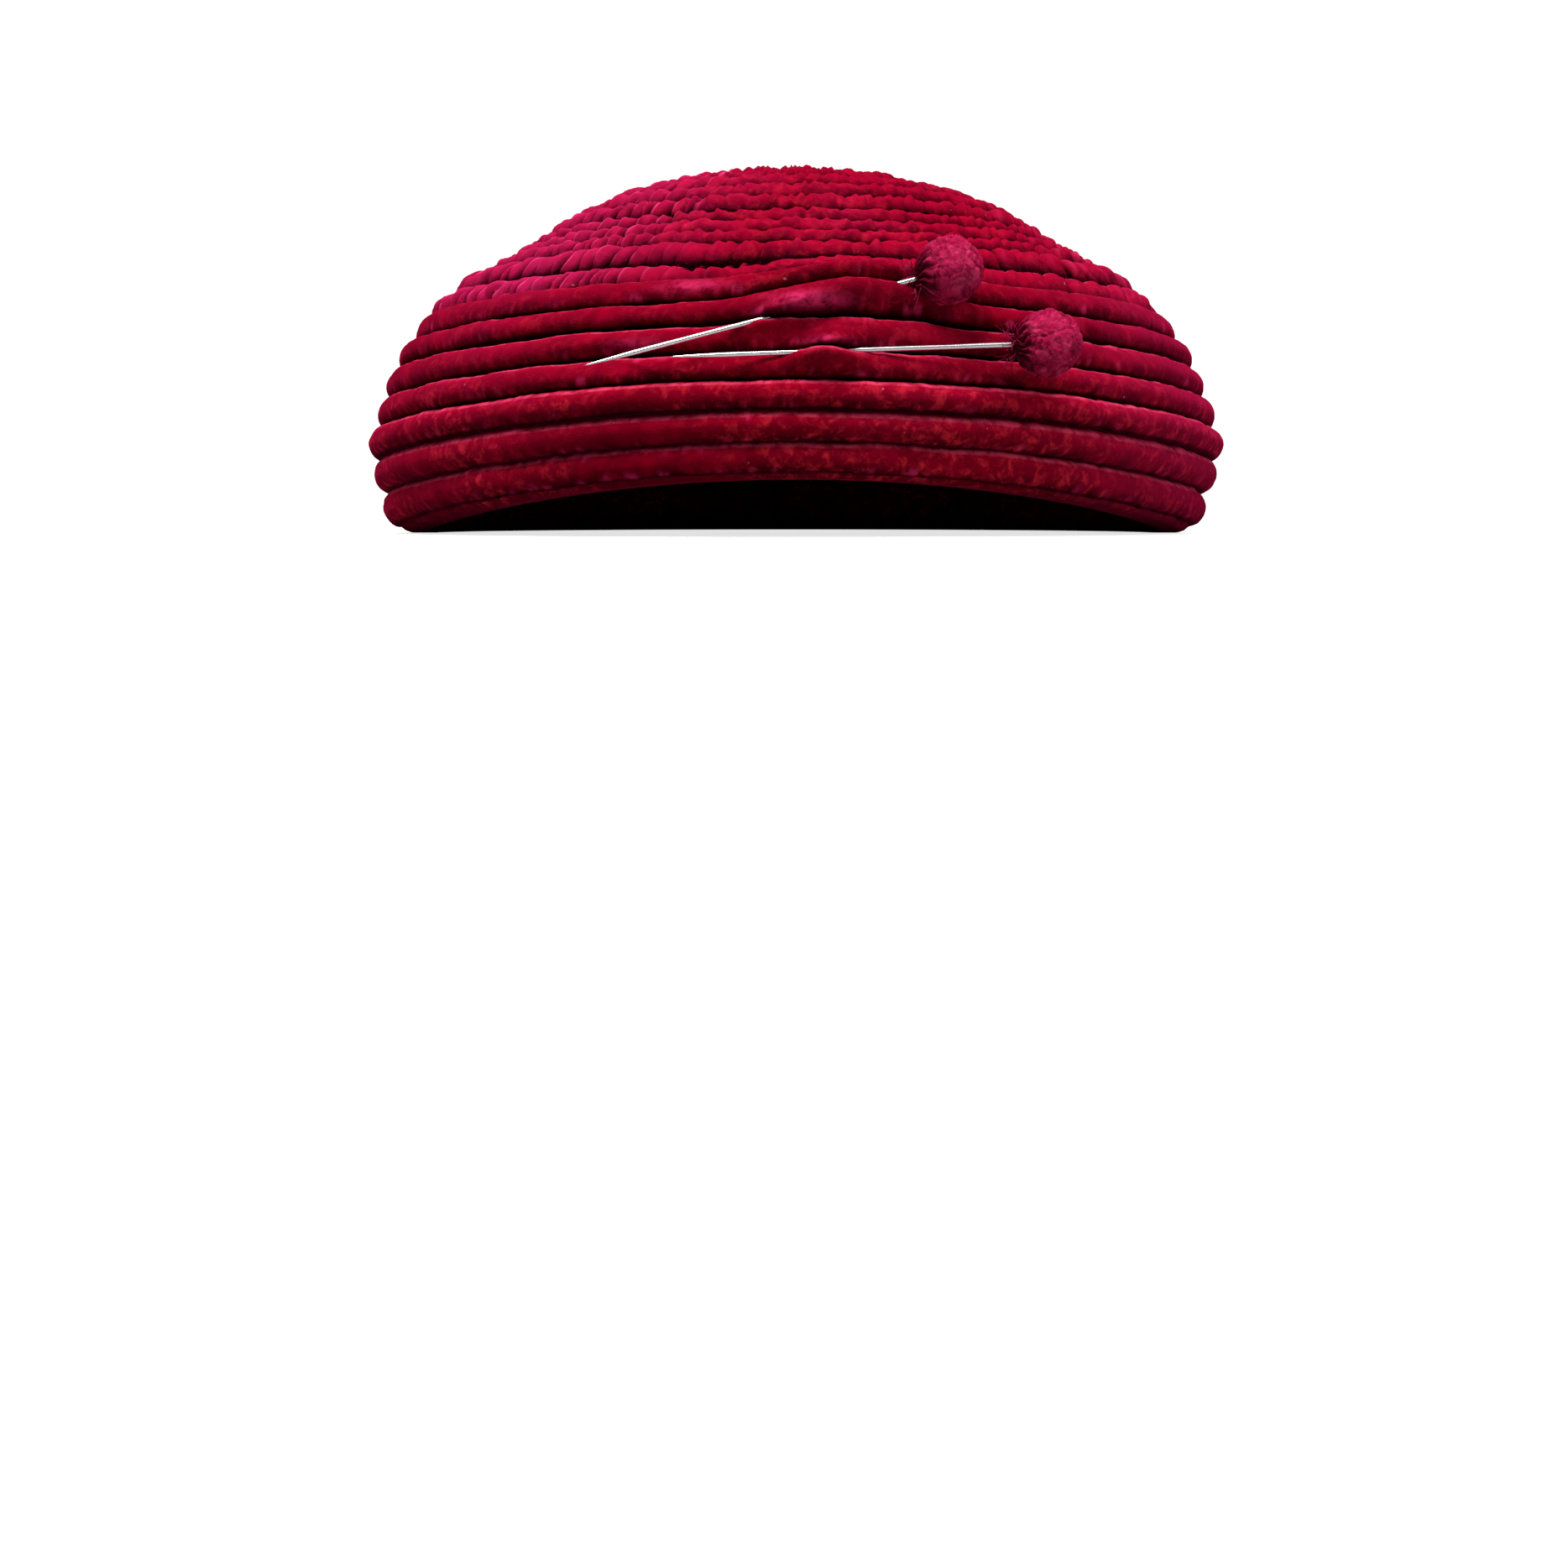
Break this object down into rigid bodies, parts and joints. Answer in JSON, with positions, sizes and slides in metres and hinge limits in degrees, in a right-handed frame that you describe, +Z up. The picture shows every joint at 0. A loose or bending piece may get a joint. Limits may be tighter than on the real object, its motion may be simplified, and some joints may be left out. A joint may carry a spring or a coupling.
{
  "type": "pillbox hat with hatpins",
  "caption": "Oval pillbox hat of corded velvet: smooth rolls round the band, shirred rows over a low domed crown, and hatpins with covered ball heads.",
  "frame": {"origin": "middle of the lower edge's oval, on the surface that the hat rests on", "axes": "+Z up through the crown, -Y towards the front with the hatpins, +X towards the side where their heads are"},
  "size_m": [0.1808, 0.2016, 0.0754],
  "materials": {
    "roll_velvet": "ruby silk velvet drawn smooth over cords, crushed in patches, with a pink sheen at its edges",
    "crown_velvet": "ruby silk velvet shirred in narrow puckered rows",
    "backing_cloth": "plain woven backing, dark red, seen inside the hat",
    "facing_velvet": "ruby velvet turned in at the lower edge, darker where the pile lies away",
    "pin_steel": "polished steel wire with a little tarnish, ground to a point",
    "head_velvet": "ruby velvet gathered and creased over a ball, frayed at the neck"
  },
  "bodies": {
    "root": {"crown": "crown_velvet", "side_wall": "backing_cloth", "band_roll_1": "roll_velvet", "band_roll_2": "roll_velvet", "band_roll_3": "roll_velvet", "band_roll_4": "roll_velvet", "band_roll_5": "roll_velvet", "band_roll_6": "roll_velvet", "band_roll_7": "roll_velvet", "rim_facing": "facing_velvet", "upper_pin_shaft": "pin_steel", "upper_pin_head": "head_velvet", "lower_pin_shaft": "pin_steel", "lower_pin_head": "head_velvet"}
  },
  "joints": []
}
